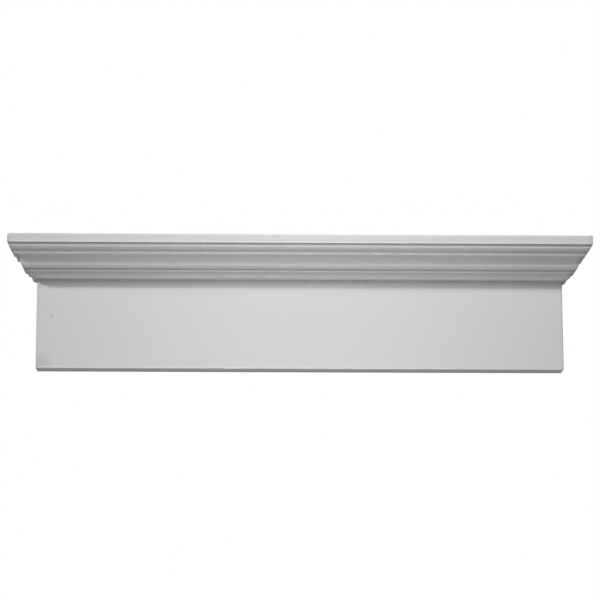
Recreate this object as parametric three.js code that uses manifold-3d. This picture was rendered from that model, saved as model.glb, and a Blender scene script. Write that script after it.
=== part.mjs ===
// Door pediment: a flat frieze board under a mitred crown cornice, cast in one piece.
// Millimetres. X runs along the wall, -Y points out of the wall and +Z is up.
// The origin is the middle of the flat back, which is the face that goes against the wall.

import * as THREE from 'three';
import { mergeVertices } from 'three/addons/utils/BufferGeometryUtils.js';
import Module from 'manifold-3d';

// Frieze board: the plain flat field that spans the door and its casings.
const FRIEZE_WIDTH = 1092;
const FRIEZE_HEIGHT = 187.2;
const FRIEZE_THICKNESS = 42;
const FRIEZE_EDGE_RADIUS = 1.5;

// Cornice mouldings, from the foot up. A run goes out from the wall and a rise goes up.
// An ogee's foot and head reach say how long it keeps level before it turns.
const FOOT_PROJECTION = 6;
const FOOT_HEIGHT = 1.5;
const SMALL_OGEE_RUN = 14.9;
const SMALL_OGEE_RISE = 12.2;
const SMALL_OGEE_FOOT_REACH = 11;
const SMALL_OGEE_HEAD_REACH = 10.5;
const LOWER_FILLET_HEIGHT = 4.7;
const LARGE_OGEE_RUN = 24.3;
const LARGE_OGEE_RISE = 27.6;
const LARGE_OGEE_FOOT_REACH = 18;
const LARGE_OGEE_HEAD_REACH = 19.5;
const UPPER_FILLET_HEIGHT = 5.8;
const OVOLO_RUN = 9.6;
const OVOLO_RISE = 12.1;
const OVOLO_FLARE_RUN = 4.6;
const OVOLO_FLARE_RISE = 5.2;
const OVOLO_CROWN = 9;
const QUIRK_HEIGHT = 2.5;
const SOFFIT_DEPTH = 3.8;
const FASCIA_HEIGHT = 18.8;

// Softness of the cast edges, and how finely round stretches are cut into flats.
const ARRIS_RADIUS = 0.8;
const CURVE_STEPS = 10;
const ARRIS_STEPS = 3;
const EDGE_STEPS = 4;

// Corners that turn less than this are steps of a curve and stay as they are.
const SHARP_TURN = THREE.MathUtils.degToRad(30);

// How far a cutting shape runs past what it cuts.
const OVERRUN = 20;

const wasm = await Module();
wasm.setup();

// A closed three.js geometry as a solid that can be joined and cut.
function solidFrom(geometry) {
  const bare = geometry.clone();
  bare.deleteAttribute('normal');
  bare.deleteAttribute('uv');
  const merged = mergeVertices(bare);
  const mesh = new wasm.Mesh({
    numProp: 3,
    vertProperties: new Float32Array(merged.attributes.position.array),
    triVerts: new Uint32Array(merged.index.array),
  });
  return new wasm.Manifold(mesh);
}

function geometryFrom(solid) {
  const mesh = solid.getMesh();
  const geometry = new THREE.BufferGeometry();
  geometry.setAttribute('position', new THREE.BufferAttribute(mesh.vertProperties, 3));
  geometry.setIndex(new THREE.BufferAttribute(mesh.triVerts, 1));
  geometry.computeVertexNormals();
  return geometry;
}

// Rounds the sharp corners of an open line of points, as a mould leaves them.
// Each round is cut short where the flats beside it are too narrow for it.
function softened(points, radius) {
  const result = [points[0]];
  for (let i = 1; i < points.length - 1; i += 1) {
    const corner = points[i];
    const back = points[i - 1].clone().sub(corner);
    const ahead = points[i + 1].clone().sub(corner);
    const turn = Math.PI - Math.acos(back.dot(ahead) / (back.length() * ahead.length()));
    if (turn < SHARP_TURN) {
      result.push(corner);
      continue;
    }
    const setback = Math.min(radius * Math.tan(turn / 2), back.length() / 2, ahead.length() / 2);
    const start = corner.clone().addScaledVector(back.normalize(), setback);
    const end = corner.clone().addScaledVector(ahead.normalize(), setback);
    const round = new THREE.QuadraticBezierCurve(start, corner, end);
    result.push(...round.getPoints(ARRIS_STEPS));
  }
  result.push(points[points.length - 1]);
  return result;
}

// Draws the cornice's profile upwards. Its x is the projection in front of the board
// and its y is the height over the board's visible top.
class Profile {
  constructor(projection) {
    this.path = new THREE.Path();
    this.path.moveTo(projection, 0);
  }

  up(height) {
    const at = this.path.currentPoint;
    this.path.lineTo(at.x, at.y + height);
  }

  out(depth) {
    const at = this.path.currentPoint;
    this.path.lineTo(at.x + depth, at.y);
  }

  // A bulge below and a hollow above in one line, level at both ends.
  ogee(run, rise, footReach, headReach) {
    const at = this.path.currentPoint;
    const end = new THREE.Vector2(at.x + run, at.y + rise);
    this.path.bezierCurveTo(at.x + footReach, at.y, end.x - headReach, end.y, end.x, end.y);
  }

  // A round that leaves the profile along its flare and stands upright over its crown.
  ovolo(run, rise, flare, crown) {
    const at = this.path.currentPoint;
    const end = new THREE.Vector2(at.x + run, at.y + rise);
    this.path.bezierCurveTo(at.x + flare.x, at.y + flare.y, end.x, end.y - crown, end.x, end.y);
  }
}

function corniceProfile() {
  const profile = new Profile(FOOT_PROJECTION);
  const flare = new THREE.Vector2(OVOLO_FLARE_RUN, OVOLO_FLARE_RISE);
  profile.up(FOOT_HEIGHT);
  profile.ogee(SMALL_OGEE_RUN, SMALL_OGEE_RISE, SMALL_OGEE_FOOT_REACH, SMALL_OGEE_HEAD_REACH);
  profile.up(LOWER_FILLET_HEIGHT);
  profile.ogee(LARGE_OGEE_RUN, LARGE_OGEE_RISE, LARGE_OGEE_FOOT_REACH, LARGE_OGEE_HEAD_REACH);
  profile.up(UPPER_FILLET_HEIGHT);
  profile.ovolo(OVOLO_RUN, OVOLO_RISE, flare, OVOLO_CROWN);
  profile.up(QUIRK_HEIGHT);
  profile.out(SOFFIT_DEPTH);
  profile.up(FASCIA_HEIGHT);
  return profile.path.getPoints(CURVE_STEPS);
}

const profile = corniceProfile();
const fasciaTop = profile[profile.length - 1];
const corniceHeight = fasciaTop.y;
const cornicePlan = {
  halfWidth: FRIEZE_WIDTH / 2 + fasciaTop.x,
  depth: FRIEZE_THICKNESS + fasciaTop.x,
};
const overallHeight = FRIEZE_HEIGHT + corniceHeight;
const bottom = -overallHeight / 2;
const corniceFoot = bottom + FRIEZE_HEIGHT;

// The profile with soft arrises, closed by level lines at its foot and its top.
function closedProfile(inner) {
  const foot = new THREE.Vector2(inner, 0);
  const top = new THREE.Vector2(inner, corniceHeight);
  return softened([foot, ...profile, top], ARRIS_RADIUS);
}

// The cornice is what its cross-section, drawn along the wall, and its front outline,
// drawn out of the wall, have in common. Both use one profile, so the corners are mitred.
function cornice() {
  const { halfWidth, depth } = cornicePlan;
  const section = new THREE.Shape(
    closedProfile(-FRIEZE_THICKNESS).map((p) => new THREE.Vector2(FRIEZE_THICKNESS + p.x, p.y)),
  );
  const length = 2 * (halfWidth + OVERRUN);
  const run = new THREE.ExtrudeGeometry(section, { depth: length, bevelEnabled: false });
  run.translate(0, 0, -length / 2);
  run.applyMatrix4(new THREE.Matrix4().makeBasis(
    new THREE.Vector3(0, -1, 0),
    new THREE.Vector3(0, 0, 1),
    new THREE.Vector3(-1, 0, 0),
  ));

  const right = closedProfile(0).slice(1, -1);
  const outline = new THREE.Shape([
    ...right.map((p) => new THREE.Vector2(FRIEZE_WIDTH / 2 + p.x, p.y)),
    ...right.reverse().map((p) => new THREE.Vector2(-FRIEZE_WIDTH / 2 - p.x, p.y)),
  ]);
  const reach = depth + 2 * OVERRUN;
  const front = new THREE.ExtrudeGeometry(outline, { depth: reach, bevelEnabled: false });
  front.translate(0, 0, -OVERRUN);
  front.applyMatrix4(new THREE.Matrix4().makeBasis(
    new THREE.Vector3(1, 0, 0),
    new THREE.Vector3(0, 0, 1),
    new THREE.Vector3(0, -1, 0),
  ));
  return solidFrom(run).intersect(solidFrom(front)).translate([0, 0, corniceFoot]);
}

// The board runs up inside the cornice. Its front edges are eased, and it is cut flat at the wall.
function frieze() {
  const radius = FRIEZE_EDGE_RADIUS;
  const height = FRIEZE_HEIGHT + corniceHeight / 2;
  const halfWidth = FRIEZE_WIDTH / 2 - radius;
  const outline = new THREE.Shape([
    new THREE.Vector2(-halfWidth, radius),
    new THREE.Vector2(halfWidth, radius),
    new THREE.Vector2(halfWidth, height),
    new THREE.Vector2(-halfWidth, height),
  ]);
  const board = new THREE.ExtrudeGeometry(outline, {
    depth: FRIEZE_THICKNESS + OVERRUN - 2 * radius,
    bevelEnabled: true,
    bevelSize: radius,
    bevelThickness: radius,
    bevelSegments: EDGE_STEPS,
  });
  board.translate(0, 0, radius - OVERRUN);
  board.rotateX(Math.PI / 2);
  board.translate(0, 0, bottom);
  const behind = new THREE.BoxGeometry(FRIEZE_WIDTH * 2, OVERRUN * 2, overallHeight * 2);
  behind.translate(0, OVERRUN, 0);
  return solidFrom(board).subtract(solidFrom(behind));
}

const primedFoam = new THREE.MeshStandardMaterial({
  color: 0xdcdcdb,
  roughness: 0.62,
  metalness: 0,
});

const pediment = new THREE.Mesh(geometryFrom(cornice().add(frieze())), primedFoam);
pediment.name = 'pediment';

const part = new THREE.Group();
part.add(pediment);

export default part;
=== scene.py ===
# %% [markdown]
# A door pediment of the flat kind, also called a crosshead. It is one casting of rigid polyurethane
# foam with a coat of white primer: a plain frieze board, and over it a crown cornice that turns
# back to the wall at both ends. The fixed frame holds its exact solid in metres, with the wall at
# Y = 0, the viewer on the -Y side and +Z up. The solid could be dressed as it is, but its faces are
# loose triangles, some as long as the board, and a face that long can't be dented or told where
# dust lies. So this lesson draws the casting again as a fine mesh, gives it its coat, and sets up
# the floor, the lamps and the camera.

import math

import bmesh
import bpy
from mathutils import Matrix, Vector, noise


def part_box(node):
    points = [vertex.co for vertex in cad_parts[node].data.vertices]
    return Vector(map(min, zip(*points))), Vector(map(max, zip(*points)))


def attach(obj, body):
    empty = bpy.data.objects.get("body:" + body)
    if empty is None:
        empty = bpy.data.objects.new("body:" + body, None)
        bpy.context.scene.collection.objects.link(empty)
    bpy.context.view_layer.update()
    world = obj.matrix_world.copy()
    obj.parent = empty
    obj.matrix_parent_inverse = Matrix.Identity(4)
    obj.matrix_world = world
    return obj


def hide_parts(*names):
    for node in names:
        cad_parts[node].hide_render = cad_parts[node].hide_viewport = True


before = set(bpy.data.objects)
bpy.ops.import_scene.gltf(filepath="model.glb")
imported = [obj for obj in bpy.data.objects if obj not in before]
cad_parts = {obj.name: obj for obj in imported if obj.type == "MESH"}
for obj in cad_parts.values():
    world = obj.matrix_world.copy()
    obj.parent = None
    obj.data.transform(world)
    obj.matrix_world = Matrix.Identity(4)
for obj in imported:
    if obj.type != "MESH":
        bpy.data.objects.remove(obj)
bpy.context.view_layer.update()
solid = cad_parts["pediment"]
low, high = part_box("pediment")
MM = 0.001
print("solid in mm:", [round(v / MM, 1) for v in high - low])

# %% [markdown]
# The profile is the line that makes a moulding what it is, and the frame already holds it. A cut
# straight across the solid gives it exactly, where a second table of sizes could drift away from
# the first. bisect_plane makes the cut: with both sides cleared only the cut line is left, a closed
# loop of points and edges. The points that lie on straight stretches are then dissolved.

# %% The profile, cut from the solid
WELD = 0.01 * MM
SECTION_AT = 3.7 * MM
STRAIGHT = math.radians(0.2)

body = bmesh.new()
body.from_mesh(solid.data)
# Two numbers for every point, which are filled in once the line is in order.
arris_layer = body.verts.layers.float.new("arris")
quirk_layer = body.verts.layers.float.new("quirk")
bmesh.ops.remove_doubles(body, verts=body.verts, dist=WELD)
bmesh.ops.bisect_plane(
    body,
    geom=body.verts[:] + body.edges[:] + body.faces[:],
    plane_co=(SECTION_AT, 0, 0),
    plane_no=(1, 0, 0),
    clear_inner=True,
    clear_outer=True,
)


def bend(v):
    """The angle by which a line of edges turns at a point."""
    one, other = (e.other_vert(v).co - v.co for e in v.link_edges)
    return math.pi - one.angle(other)


cut_points = len(body.verts)
bmesh.ops.dissolve_verts(body, verts=[v for v in body.verts if bend(v) < STRAIGHT])
print("section:", cut_points, "points, of which", len(body.verts), "are needed")

# %% [markdown]
# Only the moulded face is swept round the corners. The three straight sides of the section, at the
# wall, on top and underneath, come back later as flat caps. So the wall side's points are deleted,
# and what is left is one open line from the board's underside up to the top of the fascia. Walking
# along it puts its points in order, and its longest upright stretch is the board's face.

# %% The moulded face of the profile
wall_side = [v for v in body.verts if v.co.y > -WELD]
bmesh.ops.delete(body, geom=wall_side, context="VERTS")

ends = [v for v in body.verts if len(v.link_edges) == 1]
line = [min(ends, key=lambda v: v.co.z)]
while len(line) < len(body.verts):
    neighbours = [e.other_vert(line[-1]) for e in line[-1].link_edges]
    line.append(next(v for v in neighbours if v not in line))

board_face = max(zip(line, line[1:]), key=lambda pair: abs(pair[1].co.z - pair[0].co.z))
BOARD_DEPTH = -board_face[0].co.y
BOARD_TOP = board_face[1].co.z
CORNICE_OUT = -low.y - BOARD_DEPTH
BOARD_HALF = high.x - CORNICE_OUT
print("board:", round(2 * BOARD_HALF / MM), "mm wide,", round(BOARD_DEPTH / MM), "mm deep")
print("cornice:", round(CORNICE_OUT / MM), "mm proud of it, line of", len(line), "points")

# %% [markdown]
# Paint behaves differently where a form turns. It pulls thin over an outside edge, and dust settles
# into an inside one. The material will read that from numbers stored at the points, and with the
# same numbers it paints a highlight on the outside edges and shade in the inside ones. Between two
# points such a number fades evenly. On the board's face and the fascia it would fade over the
# whole height. So the long straights first get a point close to each of their ends.

# %% Points near the ends of the long straights
PAST_TURN = 3.0 * MM
LONG_STRAIGHT = 4 * PAST_TURN


def split_at(start, stop, distance):
    """Puts a point on the edge between two points, at a distance from the first."""
    edge = body.edges.get((start, stop))
    return bmesh.utils.edge_split(edge, start, distance / edge.calc_length())[1]


for start, stop in list(zip(line, line[1:])):
    if (stop.co - start.co).length > LONG_STRAIGHT:
        near_start = split_at(start, stop, PAST_TURN)
        near_stop = split_at(stop, near_start, PAST_TURN)
        before_stop = line.index(stop)
        line[before_stop:before_stop] = [near_start, near_stop]
print("line with points near its corners:", len(line), "points")

# %% [markdown]
# Now each point gets its two numbers: the arris number says how much the profile turns outwards
# near it, and the quirk number how much it turns inwards. The renderer's own measure of edges, its
# pointiness, would change with the fineness of the mesh, but these numbers belong to the profile.
# The sweep, the bevels and the cuts that follow carry them along to every new point. The quirk
# number is squared, so that shallow hollows get next to no dust and no painted shade.

# %% Where the profile turns
TURN_REACH = 2.5 * MM
FULL_TURN = math.radians(80)

along = [0.0]
for before, after in zip(line, line[1:]):
    along.append(along[-1] + (after.co - before.co).length)

turns = [0.0]
for before, here, after in zip(line, line[1:], line[2:]):
    first = here.co - before.co
    second = after.co - here.co
    across = first.y * second.z - first.z * second.y
    turns.append(math.atan2(across, first.dot(second)))
turns.append(0.0)

# The arris number also places a painted highlight, and the quirk number painted shade.
for here, at in zip(line, along):
    near = sum(turn for turn, other in zip(turns, along) if abs(other - at) < TURN_REACH)
    here[arris_layer] = min(max(-near / FULL_TURN, 0.0), 1.0)
    here[quirk_layer] = min(max(near / FULL_TURN, 0.0), 1.0) ** 2
print("strongest turns", round(math.degrees(min(turns))), round(math.degrees(max(turns))), "degrees")

# %% [markdown]
# A mitred moulding keeps one profile right round the corner: each point of it projects as far
# sideways, past the board's end, as it does forwards, past the board's face. So the line is turned
# a quarter to lie on the wall at the left end, extruded, and sheared to run along the mitre. From
# there a mirror makes the right-hand mitre, and flattening it onto the wall ends the second return.
# Three extrusions make both returns and the long front, in rows of faces that follow the profile
# round its corners. Two long prisms cut with each other, as in the solid, have no such rows.

# %% Sweep the line round both ends
END_SHIFT = BOARD_HALF - BOARD_DEPTH
QUARTER_TURN = math.radians(90)


def extruded(edges):
    """Extrudes a chain of edges in place and returns the new points and the new chain."""
    made = bmesh.ops.extrude_edge_only(body, edges=edges)["geom"]
    points = {g for g in made if isinstance(g, bmesh.types.BMVert)}
    joined = {e for v in points for e in v.link_edges}
    return list(points), [e for e in joined if points.issuperset(e.verts)]


turn_to_end = Matrix.Translation((-END_SHIFT, 0, 0)) @ Matrix.Rotation(-QUARTER_TURN, 4, "Z")
mitre = Matrix.Identity(4)
mitre[1][0] = 1
mitre[1][3] = END_SHIFT
mirror = Matrix.Scale(-1, 4, (1, 0, 0))
flatten = Matrix.Scale(0, 4, (0, 1, 0))
runs = (mitre, mirror, flatten)

bmesh.ops.transform(body, matrix=Matrix.Translation((-SECTION_AT, 0, 0)), verts=body.verts)
bmesh.ops.transform(body, matrix=flatten @ turn_to_end, verts=body.verts)
chain = body.edges[:]
for move in runs:
    points, chain = extruded(chain)
    bmesh.ops.transform(body, matrix=move, verts=points)
print("swept:", len(body.faces), "faces in", len(runs), "runs")

# %% [markdown]
# The caps close the skin into one solid: the level top and underside, each drawn over four points,
# and last the back, which is the whole outline that touches the wall. Normals are recalculated once
# the skin is closed, because only then does outside have a meaning.

# %% Close the top, the underside and the back
TOP = high.z
UNDERSIDE = low.z
for level in (TOP, UNDERSIDE):
    rim = [v for v in body.verts if abs(v.co.z - level) < WELD]
    bmesh.ops.contextual_create(body, geom=rim)
open_edges = [e for e in body.edges if e.is_boundary]
bmesh.ops.contextual_create(body, geom=open_edges)
bmesh.ops.recalc_face_normals(body, faces=body.faces)
print("closed:", all(e.is_manifold for e in body.edges), "volume", round(body.calc_volume(), 5), "m3")

# %% [markdown]
# No casting has knife edges. The profile's own arrises are already soft, because the solid has them,
# so only the corners in plan are left: the board's upright edges and the mitres of the cornice.
# A bevel of the absolute kind slides every point the same way along its long edges, which gives all
# the small steps of a mitre the same round. A Bevel modifier that clamps its overlaps would shrink
# the round to what the smallest step allows.

# %% Soften the board's upright edges and the mitres
BOARD_ROUND = 1.5 * MM
MITRE_ROUND = 0.8 * MM
ROUND_STEPS = 4


def past_board(v):
    """How far a point lies past the board's end, and how far past its face."""
    return abs(v.co.x) - BOARD_HALF, -v.co.y - BOARD_DEPTH


def off_mitre(v):
    """How far a point lies from the plane of a mitre, where the two are the same."""
    past_end, past_face = past_board(v)
    return abs(past_end - past_face)


def mitre_edges(lowest, highest):
    """The edges of the two mitres between two heights, where the faces beside them turn a corner."""
    found = [e for e in body.edges if all(off_mitre(v) < WELD for v in e.verts)]
    found = [e for e in found if all(v.co.y < -WELD for v in e.verts)]
    found = [e for e in found if e.calc_length() < BOARD_HALF]
    found = [e for e in found if e.calc_face_angle() > STRAIGHT]
    return [e for e in found if all(lowest <= v.co.z <= highest for v in e.verts)]


def soften(edges, size):
    bmesh.ops.bevel(
        body,
        geom=edges,
        offset=size,
        offset_type="ABSOLUTE",
        affect="EDGES",
        segments=ROUND_STEPS,
        profile=0.5,
        material=-1,
    )
    print("softened", len(edges), "edges to", round(size / MM, 1), "mm")


soften(mitre_edges(UNDERSIDE, BOARD_TOP + WELD), BOARD_ROUND)
soften(mitre_edges(BOARD_TOP - WELD, TOP), MITRE_ROUND)
print("manifold:", all(e.is_manifold for e in body.edges))

# %% [markdown]
# The faces are still as long as the whole board, and a face can only bend where it has points.
# Subdividing would halve the narrow rows of the mouldings as well. Cutting the solid with a row of
# parallel planes gives it an even grid of about 12 mm without touching its form: along the wall,
# out from it, and up the board. Over the board only the flat back is cut in height, because the
# mouldings have rows enough. A last cut near each end of the board keeps what the material is told
# of its corners from fading out over a whole cell.

# %% Cut a grid into the casting
GRID = 12 * MM
INTO_WALL = 0.99
X, Y, Z = range(3)


def every_face():
    return body.faces[:]


def back_faces():
    return [f for f in body.faces if f.normal.y > INTO_WALL]


def slice_at(axis, at, chosen=every_face):
    """Cuts the chosen faces, with their edges and points, along a plane."""
    normal = Vector((0, 0, 0))
    normal[axis] = 1
    faces = chosen()
    edges = {e for f in faces for e in f.edges}
    points = {v for e in edges for v in e.verts}
    geometry = [*points, *edges, *faces]
    bmesh.ops.bisect_plane(body, geom=geometry, plane_co=normal * at, plane_no=normal, dist=WELD)


def slice_up(axis, start, stop, chosen=every_face):
    """Cuts the chosen faces in even steps, none wider than the grid."""
    count = math.ceil((stop - start) / GRID)
    for i in range(1, count):
        slice_at(axis, start + (stop - start) * i / count, chosen)


slice_up(X, low.x, high.x)
slice_up(Y, low.y, high.y)
slice_up(Z, low.z, BOARD_TOP)
body.normal_update()
slice_up(Z, BOARD_TOP, high.z, back_faces)
for side in (-1, 1):
    slice_at(X, side * (BOARD_HALF - BOARD_ROUND - PAST_TURN))
print("grid:", len(body.faces), "faces")

# %% [markdown]
# The marks are what handling left on this one: a short scuff in the board near its left end, made of
# two small knocks, a nick in its right edge, and a top corner that is no longer quite sharp. Each
# has a place on the casting, a reach and a depth. A bump pattern could fake the scuff, but it can't
# nick an edge. So points are moved in the mesh, and the grid is first halved a few times round each
# mark, because a dent a few millimetres wide needs points of its own.

# %% Small marks of handling
UPPER_SCUFF = Vector((-513.5 * MM, -BOARD_DEPTH, -26 * MM))
LOWER_SCUFF = Vector((-515.5 * MM, -BOARD_DEPTH, -30.5 * MM))
EDGE_NICK = Vector((BOARD_HALF, -BOARD_DEPTH, -21 * MM))
BLUNT_CORNER = Vector((low.x, low.y, high.z))
MARKS = [
    {"at": UPPER_SCUFF, "reach": 3.4 * MM, "depth": 0.6 * MM},
    {"at": LOWER_SCUFF, "reach": 3.0 * MM, "depth": 0.5 * MM},
    {"at": EDGE_NICK, "reach": 3.5 * MM, "depth": 0.8 * MM},
    {"at": BLUNT_CORNER, "reach": 5.0 * MM, "depth": 1.6 * MM},
]
HALVINGS = 4
STEPS_IN_REACH = 4


def refined(at, reach):
    """Halves the grid near a place a few times, each time over a smaller reach."""
    for step in range(HALVINGS):
        around = reach + GRID / 2**step
        near = [e for e in body.edges if all((v.co - at).length < around for v in e.verts)]
        near = [e for e in near if e.calc_length() > reach / STEPS_IN_REACH]
        bmesh.ops.subdivide_edges(body, edges=near, cuts=1, use_grid_fill=True)


def dented(at, reach, depth):
    """Presses a round hollow into the casting, with a rim that runs out softly."""
    body.normal_update()
    near = [v for v in body.verts if (v.co - at).length < reach]
    moves = [(v, 1 - ((v.co - at).length / reach) ** 2, v.normal.copy()) for v in near]
    for v, share, normal in moves:
        v.co -= normal * depth * share * share
    print("mark of", round(reach / MM, 1), "mm moved", len(near), "points")


for mark in MARKS:
    refined(mark["at"], mark["reach"])
    dented(**mark)

# %% [markdown]
# A large flat of cast foam is never quite flat: it sinks by a few tenths of a millimetre as it
# cures, in waves about a hand wide. That is too little to see straight on, but light that grazes
# the board finds it. The waves only ever go inwards, so that the casting stays inside its solid,
# and the three flats that other things rest against are left alone.

# %% Slow waves of a cured casting
WAVE_LENGTH = 140 * MM
WAVE_DEPTH = 0.35 * MM
WAVE_SEED = Vector((3.1, 7.7, 1.9))

body.normal_update()
waves = []
for v in body.verts:
    on_flat = v.co.y > -WELD or v.co.z > TOP - WELD or v.co.z < UNDERSIDE + WELD
    if not on_flat:
        height = noise.noise(v.co / WAVE_LENGTH + WAVE_SEED)
        waves.append((v, v.normal * WAVE_DEPTH * (1 + height) / 2))
for v, move in waves:
    v.co -= move
print("waves: moved", len(waves), "points by at most", WAVE_DEPTH / MM, "mm")

# %% [markdown]
# Two things about the coat don't follow from the profile. On the corners in plan, which were
# softened after the sweep, it is a little thin and has only a little painted highlight, but inside
# the flat top and underside it is whole and has none. And shade is painted a short way down the
# board under the cornice's foot, where the cornice shades it, darkest right under it.

# %% Thin corners, whole flats, and painted shade under the foot
CORNER_REACH = 1.6 * MM
CORNER_THIN_AND_HIGHLIGHT = 0.1
# Painted shade under the cornice's foot: how strong it is, and how far down the board it reaches.
FOOT_SHADE = 1.7
FOOT_SHADE_REACH = 12 * MM

for v in body.verts:
    if off_mitre(v) < CORNER_REACH:
        v[arris_layer] = CORNER_THIN_AND_HIGHLIGHT
    outermost = max(past_board(v))
    in_underside = v.co.z < UNDERSIDE + WELD and outermost < -CORNER_REACH
    in_top = v.co.z > TOP - WELD and outermost < CORNICE_OUT - CORNER_REACH
    if in_underside or in_top:
        v[arris_layer] = 0.0
    below_foot = (BOARD_TOP - v.co.z) / FOOT_SHADE_REACH
    if v.co.y < -WELD and 0 <= below_foot < 1:
        v[quirk_layer] = max(v[quirk_layer], FOOT_SHADE * (1 - below_foot) ** 3)
thin_and_highlight_points = sum(v[arris_layer] > 0 for v in body.verts)
dust_and_shade_points = sum(v[quirk_layer] > 0 for v in body.verts)
print("coat:", thin_and_highlight_points, "points with thin paint,", dust_and_shade_points, "with dust")

# %% [markdown]
# The back inside its rim is bare foam, because the casting is sprayed from the front. Hands have
# left a smear at the board's lower left corner, and each knock is scuffed. The same grey is painted
# along the corners in plan as shade on their rounds. Such places are too few for a pattern, so they
# too get numbers at the points, which the material only has to colour.

# %% Bare foam, smears of hands, painted shade on the corners and scuffed knocks
SMEAR_IN = 12 * MM
SMEAR_UP = 12.2 * MM
SMEAR_AT = Vector((SMEAR_IN - BOARD_HALF, -BOARD_DEPTH, UNDERSIDE + SMEAR_UP))
SMEAR_REACH = Vector((24, 20, 17)) * MM
# Painted shade along the corners in plan, as a share of the smear's grey.
CORNER_SHADE = 0.8
KNOCK_REACH = 3.0 * MM

body.normal_update()
bare_layer = body.verts.layers.float.new("bare")
smear_and_shade_layer = body.verts.layers.float.new("smear_and_shade")
knock_layer = body.verts.layers.float.new("knock")
for v in body.verts:
    v[bare_layer] = 1.0 if all(f.normal.y > INTO_WALL for f in v.link_faces) else 0.0
    away = Vector(a / r for a, r in zip(v.co - SMEAR_AT, SMEAR_REACH)).length
    v[smear_and_shade_layer] = max(1.0 - away, CORNER_SHADE if off_mitre(v) < CORNER_REACH else 0.0)
    knocks = [1 - (v.co - mark["at"]).length / (mark["reach"] + KNOCK_REACH) for mark in MARKS]
    v[knock_layer] = max(*knocks, 0.0)
bare_points = sum(v[bare_layer] > 0 for v in body.verts)
print("back:", bare_points, "points of bare foam")

# %% [markdown]
# The finished mesh becomes an object that stands at the origin, with its place in its points. It is
# shaded smooth, as a casting's soft arrises are. Smooth shading alone would make the large flats
# look swollen near their edges, so a Weighted Normal modifier lets the larger faces decide.

# %% The finished casting
# 50 is neutral, and 100 gives the largest faces the most say.
LARGE_FACES_DECIDE = 100

mesh = bpy.data.meshes.new("pediment_casting")
body.to_mesh(mesh)
body.free()
mesh.shade_smooth()
casting = bpy.data.objects.new("pediment_casting", mesh)
bpy.context.scene.collection.objects.link(casting)
flats = casting.modifiers.new("flat_faces_stay_flat", "WEIGHTED_NORMAL")
flats.mode = "FACE_AREA"
flats.weight = LARGE_FACES_DECIDE
print("casting:", len(mesh.vertices), "points,", len(mesh.polygons), "faces")

# %% [markdown]
# Colours are easiest to choose as the hex values of a paint card, but the renderer adds up light,
# so it wants them linear. One function turns the one into the other, with the numbers of the sRGB
# standard. A second one adds a node to a material, with its settings and its links, so that each
# material reads as a list of its layers.

# %% Two helpers for materials
WHITE = "#ffffff"


def linear(code):
    """A hex colour of a paint card as linear red, green, blue and alpha."""
    channels = [int(code[i : i + 2], 16) / 255 for i in (1, 3, 5)]
    low_part = [c / 12.92 for c in channels]
    high_part = [((c + 0.055) / 1.055) ** 2.4 for c in channels]
    return (*(a if c <= 0.04045 else b for c, a, b in zip(channels, low_part, high_part)), 1.0)


def add(tree, kind, sockets=None, **settings):
    """Adds a node. A socket is set to a value, or linked when it is given another node's output."""
    made = tree.nodes.new(kind)
    for name, value in settings.items():
        setattr(made, name, value)
    for name, value in (sockets or {}).items():
        if isinstance(value, bpy.types.NodeSocket):
            tree.links.new(value, made.inputs[name])
        else:
            made.inputs[name].default_value = value
    return made


print("white is", linear(WHITE)[0], "and the middle of the card is", round(linear("#808080")[0], 2))

# %% [markdown]
# The real skin is a flat white primer sprayed on moulded rigid polyurethane. To the eye that is a
# dull, very light grey without colour or shine. A picture of paint would have to be unwrapped round
# every moulding, while patterns on the object's own coordinates go straight through it and have
# their sizes in millimetres. First comes the coat itself, with very faint clouds, where it lies
# thicker or thinner, and a few faint grey rubs that run along the casting. A noise keeps near 0.5,
# so each pattern has a range, which says what stretch of its noise goes from none to all of it.

# %% Primed polyurethane: clouds and rubs
CLOUD_SIZE = 95 * MM
CLOUD_RANGE = {"From Min": 0.35, "From Max": 0.65}
RUB_LENGTH = 160 * MM
RUB_WIDTH = 9 * MM
RUB_SHARE = 0.15
RUB_RANGE = {"From Min": 0.66, "From Max": 0.78, "To Max": RUB_SHARE}
# How many times a noise is drawn over itself, each time half as coarse.
SOFT, CLOUDY, RAGGED = 2.0, 3.0, 4.0

material = bpy.data.materials.new("primed_polyurethane")
material.use_nodes = True
coat = material.node_tree
shader = coat.nodes["Principled BSDF"]
position = add(coat, "ShaderNodeTexCoord").outputs["Object"]

clouds = {"Vector": position, "Scale": 1 / CLOUD_SIZE, "Detail": CLOUDY}
clouds = add(coat, "ShaderNodeTexNoise", clouds).outputs["Fac"]
deep = add(coat, "ShaderNodeMapRange", {"Value": clouds, **CLOUD_RANGE}).outputs["Result"]

stretched = {"Vector": position, "Scale": (1 / RUB_LENGTH, 1 / RUB_WIDTH, 1 / RUB_WIDTH)}
stretched = add(coat, "ShaderNodeMapping", stretched).outputs["Vector"]
rubs = {"Vector": stretched, "Scale": 1.0, "Detail": RAGGED}
rubs = add(coat, "ShaderNodeTexNoise", rubs).outputs["Fac"]
rubs = add(coat, "ShaderNodeMapRange", {"Value": rubs, **RUB_RANGE}).outputs["Result"]
print("clouds of", round(CLOUD_SIZE / MM), "mm and rubs of", round(RUB_LENGTH / MM), "mm")

# %% [markdown]
# Next come the shares of what follows the form, from the numbers stored at the points. Grey dust
# lies in the quirks, with painted shade, and the coat is thin on the arrises, with a painted
# highlight, both in patches and not as even bands, so their numbers are multiplied with a patchy
# noise. A smear of hands fades out from its middle, the painted shade on the corners in plan is even
# along them, and a knock is only scuffed near its middle.

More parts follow.
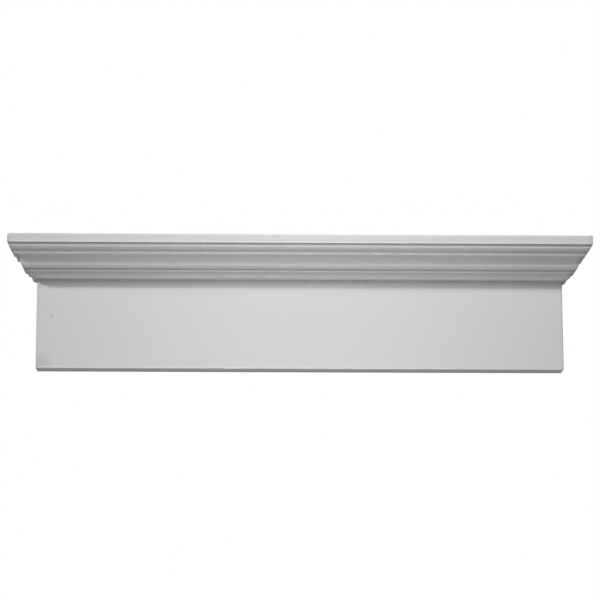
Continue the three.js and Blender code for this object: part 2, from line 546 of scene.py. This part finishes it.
# %% Primed polyurethane: dust and painted shade, thin paint and painted highlight, smears
PATCH_SIZE = 30 * MM
PATCH_RANGE = {"From Min": 0.35, "From Max": 0.6}
DUST_AND_SHADE_LEAST = 0.42
DUST_AND_SHADE_MOST = 0.55
THIN_AND_HIGHLIGHT_LEAST = 0.5
THIN_AND_HIGHLIGHT_MOST = 1.0
SMEAR_AND_SHADE_RANGE = {"From Min": 0.0, "From Max": 0.8, "To Max": 0.4}
KNOCK_RANGE = {"From Min": 0.35, "From Max": 0.8, "To Max": 0.45}

stored = {
    name: add(coat, "ShaderNodeAttribute", attribute_name=name).outputs["Fac"]
    for name in ("arris", "quirk", "bare", "smear_and_shade", "knock")
}
patches = {"Vector": position, "Scale": 1 / PATCH_SIZE, "Detail": RAGGED}
patches = add(coat, "ShaderNodeTexNoise", patches).outputs["Fac"]

# Dust and painted shade in the quirks, in patches.
dust_and_shade = {"Value": patches, **PATCH_RANGE, "To Min": DUST_AND_SHADE_LEAST, "To Max": DUST_AND_SHADE_MOST}
dust_and_shade = add(coat, "ShaderNodeMapRange", dust_and_shade).outputs["Result"]
dust_and_shade = add(coat, "ShaderNodeMath", {0: stored["quirk"], 1: dust_and_shade}, operation="MULTIPLY").outputs[0]

# Thin paint and a painted highlight on the arrises, in patches.
thin_and_highlight = {"Value": patches, **PATCH_RANGE, "To Min": THIN_AND_HIGHLIGHT_LEAST, "To Max": THIN_AND_HIGHLIGHT_MOST}
thin_and_highlight = add(coat, "ShaderNodeMapRange", thin_and_highlight).outputs["Result"]
thin_and_highlight = add(coat, "ShaderNodeMath", {0: stored["arris"], 1: thin_and_highlight}, operation="MULTIPLY").outputs[0]

smear_and_shade = add(coat, "ShaderNodeMapRange", {"Value": stored["smear_and_shade"], **SMEAR_AND_SHADE_RANGE}).outputs["Result"]
knock = add(coat, "ShaderNodeMapRange", {"Value": stored["knock"], **KNOCK_RANGE}).outputs["Result"]
print("follows the form:", ", ".join(stored))

# %% [markdown]
# The back is not primed. It is the bare skin of the foam: ivory, a little darker where it has aged,
# and full of pinholes. The spray feathers out onto it round the rim, so the edge of the bare part is
# ragged: the stored number has to beat a noise. Real pinholes are about a third of a millimetre
# wide. They are drawn four times as wide, or no picture of the whole casting would show them.

# %% Primed polyurethane: the bare back
BARE_FOAM = "#d9cfb4"
AGED_FOAM = "#d2c7aa"
FOAM_CLOUD_SIZE = 55 * MM
FOAM_CLOUD_RANGE = {"From Min": 0.4, "From Max": 0.65}
PINHOLE_BROWN = "#a3967a"
PINHOLE_SPACING = 5.5 * MM
PINHOLE_FLOOR = 0.275 * MM
PINHOLE_RIM = 0.66 * MM
FEATHER_SIZE = 14 * MM
FEATHER_RANGE = {"From Min": 0.3, "From Max": 0.7, "To Min": 0.1, "To Max": 0.9}
# A Mix node's sockets for colours, by number, because its sockets A and B come in several kinds.
SHARE, UNDER, OVER, MIXED = 0, 6, 7, 2

feather = {"Vector": position, "Scale": 1 / FEATHER_SIZE, "Detail": CLOUDY}
feather = add(coat, "ShaderNodeTexNoise", feather).outputs["Fac"]
feather = add(coat, "ShaderNodeMapRange", {"Value": feather, **FEATHER_RANGE}).outputs["Result"]
bare = {0: stored["bare"], 1: feather}
bare = add(coat, "ShaderNodeMath", bare, operation="GREATER_THAN").outputs[0]

holes = {"Vector": position, "Scale": 1 / PINHOLE_SPACING}
holes = add(coat, "ShaderNodeTexVoronoi", holes).outputs["Distance"]
holes = {
    "Value": holes,
    "From Min": PINHOLE_FLOOR / PINHOLE_SPACING,
    "From Max": PINHOLE_RIM / PINHOLE_SPACING,
    "To Min": 1.0,
    "To Max": 0.0,
}
holes = add(coat, "ShaderNodeMapRange", holes).outputs["Result"]

aged = {"Vector": position, "Scale": 1 / FOAM_CLOUD_SIZE, "Detail": RAGGED}
aged = add(coat, "ShaderNodeTexNoise", aged).outputs["Fac"]
aged = add(coat, "ShaderNodeMapRange", {"Value": aged, **FOAM_CLOUD_RANGE}).outputs["Result"]
foam = {SHARE: aged, UNDER: linear(BARE_FOAM), OVER: linear(AGED_FOAM)}
foam = add(coat, "ShaderNodeMix", foam, data_type="RGBA").outputs[MIXED]
foam = {SHARE: holes, UNDER: foam, OVER: linear(PINHOLE_BROWN)}
foam = add(coat, "ShaderNodeMix", foam, data_type="RGBA").outputs[MIXED]
print("pinholes every", round(PINHOLE_SPACING / MM, 1), "mm")

# %% [markdown]
# With all the shares known, the colours are laid over each other like coats of paint: the primer,
# then what lies on it, and last the foam where there is no primer. Each line of the list is a share
# and the colour that it brings.

# %% Primed polyurethane: its colours
PRIMER_LIGHT = "#dedede"
PRIMER_DEEP = "#dcdddc"
RUB_GREY = "#c9c8c4"
# Dust in the quirks, and painted shade there and under the cornice's foot.
QUIRK_DUST_AND_SHADE = "#92908a"
# Thin paint on the arrises, and a painted highlight on them and on the fillets.
ARRIS_WHITE_AND_HIGHLIGHT = "#f6f6f4"
# Grey of hands, and painted shade along the corners in plan.
HAND_GREY_AND_SHADE = "#b3b0aa"

colour = linear(PRIMER_LIGHT)
coats = [
    (deep, linear(PRIMER_DEEP)),
    (rubs, linear(RUB_GREY)),
    (dust_and_shade, linear(QUIRK_DUST_AND_SHADE)),
    (thin_and_highlight, linear(ARRIS_WHITE_AND_HIGHLIGHT)),
    (smear_and_shade, linear(HAND_GREY_AND_SHADE)),
    (knock, linear(HAND_GREY_AND_SHADE)),
    (bare, foam),
]
for share, over in coats:
    mix = {SHARE: share, UNDER: colour, OVER: over}
    colour = add(coat, "ShaderNodeMix", mix, data_type="RGBA").outputs[MIXED]
coat.links.new(colour, shader.inputs["Base Color"])
print("colours:", len(coats), "over", PRIMER_LIGHT)

# %% [markdown]
# Last comes what the light does on it. The coat is rough, a touch less so where it is thin and
# hands have polished the arrises. Its relief has two sizes: the shallow unevenness of the mould's
# skin, and the dimples of a sprayed coat. Real dimples are under a millimetre wide. They are drawn
# about twice as coarse, because finer ones would be lost between the pixels. Bump nodes do for both,
# and for the pinholes on the back, as they are far too shallow to change an outline.

# %% Primed polyurethane: roughness and relief
ROUGH_RANGE = {"From Min": 0.3, "From Max": 0.7, "To Min": 0.56, "To Max": 0.66}
ARRIS_POLISH = 0.16
SKIN_SIZE = 7.0 * MM
SKIN_DEPTH = 0.09 * MM
DIMPLE_SIZE = 1.6 * MM
DIMPLE_DEPTH = 0.05 * MM
PINHOLE_DEPTH = 0.4 * MM
POLYMER_IOR = 1.48

rough = add(coat, "ShaderNodeMapRange", {"Value": clouds, **ROUGH_RANGE}).outputs["Result"]
rough = {0: thin_and_highlight, 1: -ARRIS_POLISH, 2: rough}
rough = add(coat, "ShaderNodeMath", rough, operation="MULTIPLY_ADD").outputs[0]
coat.links.new(rough, shader.inputs["Roughness"])

skin = {"Vector": position, "Scale": 1 / SKIN_SIZE, "Detail": SOFT}
skin = add(coat, "ShaderNodeTexNoise", skin).outputs["Fac"]
relief = {"Height": skin, "Distance": SKIN_DEPTH}
relief = add(coat, "ShaderNodeBump", relief).outputs["Normal"]

dimples = {"Vector": position, "Scale": 1 / DIMPLE_SIZE, "Detail": SOFT}
dimples = add(coat, "ShaderNodeTexNoise", dimples).outputs["Fac"]
relief = {"Height": dimples, "Distance": DIMPLE_DEPTH, "Normal": relief}
relief = add(coat, "ShaderNodeBump", relief).outputs["Normal"]

pits = add(coat, "ShaderNodeMath", {0: holes, 1: bare}, operation="MULTIPLY").outputs[0]
relief = {"Height": pits, "Distance": PINHOLE_DEPTH, "Normal": relief}
relief = add(coat, "ShaderNodeBump", relief, invert=True).outputs["Normal"]
coat.links.new(relief, shader.inputs["Normal"])
shader.inputs["IOR"].default_value = POLYMER_IOR

casting.data.materials.append(material)
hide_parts("pediment")
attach(casting, "root")
print("material:", len(coat.nodes), "nodes")

# %% [markdown]
# Nothing in the picture touches a floor, because the pediment hangs where a door's head would be.
# A pale floor still belongs to the studio: it throws soft light up into the soffits. It could be lit
# by lamps of its own, but a glow of its whole disc is softer. It lies far enough down for a camera
# that looks up from underneath to stay above it.

# %% A pale floor
FLOOR_DROP = 6.4
FLOOR_RADIUS = 3.0
FLOOR_SIDES = 96
FLOOR_PAINT = "#f0f0ee"
FLOOR_ROUGHNESS = 0.9
FLOOR_GLOW = 0.6

disc = bmesh.new()
bmesh.ops.create_circle(disc, cap_ends=True, segments=FLOOR_SIDES, radius=FLOOR_RADIUS)
bmesh.ops.translate(disc, verts=disc.verts, vec=(0, 0, -FLOOR_DROP))
floor_mesh = bpy.data.meshes.new("floor")
disc.to_mesh(floor_mesh)
disc.free()
floor = bpy.data.objects.new("floor", floor_mesh)
bpy.context.scene.collection.objects.link(floor)
pale = bpy.data.materials.new("pale_floor")
pale.use_nodes = True
pale_shader = pale.node_tree.nodes["Principled BSDF"]
pale_shader.inputs["Base Color"].default_value = linear(FLOOR_PAINT)
pale_shader.inputs["Roughness"].default_value = FLOOR_ROUGHNESS
pale_shader.inputs["Emission Color"].default_value = linear(WHITE)
pale_shader.inputs["Emission Strength"].default_value = FLOOR_GLOW
floor_mesh.materials.append(pale)
print("floor: a disc", 2 * FLOOR_RADIUS, "m wide,", FLOOR_DROP, "m under the middle of the part")

# %% [markdown]
# The picture is a cut-out on pure white, so the world is white to the camera. As a lamp the same
# white would wash every hollow out, so what it sends into the scene is much weaker. The Light Path
# node tells the two apart. The view transform is the plain one, which shows white as white.

# %% White surroundings
SKY_TO_CAMERA = 1.0
SKY_AS_LAMP = 0.12

world = bpy.data.worlds.new("studio")
bpy.context.scene.world = world
world.use_nodes = True
sky = world.node_tree
sky.nodes.clear()
seen = add(sky, "ShaderNodeBackground", {"Color": linear(WHITE), "Strength": SKY_TO_CAMERA})
lamp = add(sky, "ShaderNodeBackground", {"Color": linear(WHITE), "Strength": SKY_AS_LAMP})
path = add(sky, "ShaderNodeLightPath")
choice = {0: path.outputs["Is Camera Ray"], 1: lamp.outputs[0], 2: seen.outputs[0]}
choice = add(sky, "ShaderNodeMixShader", choice)
add(sky, "ShaderNodeOutputWorld", {"Surface": choice.outputs[0]})
bpy.context.scene.view_settings.view_transform = "Standard"
print("surroundings:", SKY_TO_CAMERA, "to the camera,", SKY_AS_LAMP, "as a lamp")

# %% [markdown]
# What shows the profile is where the light stands. A moulding under a high lamp throws a clean edge
# of shadow: here the fascia's shadow ends 14 mm below the cornice's foot, which puts the two high
# lamps 54 degrees up. One stands far out to the left, so that its shadow runs off to the right, and
# a weaker one stands to the right. Two small lamps close in front light the middle of the board
# more than its ends. A last one stands behind the wall's plane, where it lights the back and gives
# the front nothing.

# %% Lamps
MIDDLE = Vector((0, -BOARD_DEPTH, 9 * MM))
HIGH = math.radians(54)
A_LITTLE_HIGH = math.radians(35)
LOW = math.radians(-30)
BEHIND = math.radians(160)


def soft_lamp(name, across, up, reach, side, watts):
    """A square lamp at a reach and an angle up from the middle of the part, moved across in metres."""
    data = bpy.data.lights.new(name, "AREA")
    data.shape = "SQUARE"
    data.size = side
    data.energy = watts
    made = bpy.data.objects.new(name, data)
    made.location = MIDDLE + Vector((across, -reach * math.cos(up), reach * math.sin(up)))
    made.rotation_euler = (MIDDLE - made.location).to_track_quat("-Z", "Y").to_euler()
    made.visible_camera = False
    bpy.context.scene.collection.objects.link(made)
    print(name, "lamp at", [round(c, 2) for c in made.location], "of", watts, "W")


soft_lamp("left_key", across=-5.0, up=HIGH, reach=4.0, side=0.4, watts=275)
soft_lamp("right_key", across=1.8, up=HIGH, reach=2.3, side=0.35, watts=26)
soft_lamp("front_low", across=0.0, up=LOW, reach=0.85, side=0.4, watts=1.85)
soft_lamp("front_high", across=0.0, up=A_LITTLE_HIGH, reach=0.85, side=0.4, watts=1.5)
soft_lamp("behind", across=0.5, up=BEHIND, reach=3.5, side=1.5, watts=75)

# %% [markdown]
# The photograph is taken from almost five metres off and almost a metre below the board, a touch to
# the left of its middle, with a long lens. So the returns just show, and the board's sides stay
# nearly upright. The camera could be turned by hand until the edges lie right. Here it is placed by
# the angle that it looks up and the angle that it looks round, at the distance that makes the
# cornice fill the frame's width.

# %% The camera
LOOK_UP = math.radians(11.32)
LOOK_ROUND = math.radians(1.24)
DISTANCE = 4.881
LENS_MM = 141
SENSOR_MM = 36
AIM = Vector((-0.4 * MM, -BOARD_DEPTH, 9.1 * MM))

ahead = Vector((
    math.sin(LOOK_ROUND) * math.cos(LOOK_UP),
    math.cos(LOOK_ROUND) * math.cos(LOOK_UP),
    math.sin(LOOK_UP),
))
camera_data = bpy.data.cameras.new("camera")
camera_data.lens = LENS_MM
camera_data.sensor_width = SENSOR_MM
camera = bpy.data.objects.new("camera", camera_data)
camera.location = AIM - ahead * DISTANCE
camera.rotation_euler = ahead.to_track_quat("-Z", "Y").to_euler()
bpy.context.scene.collection.objects.link(camera)
bpy.context.scene.camera = camera
print("camera at", [round(c, 2) for c in camera.location], "m")
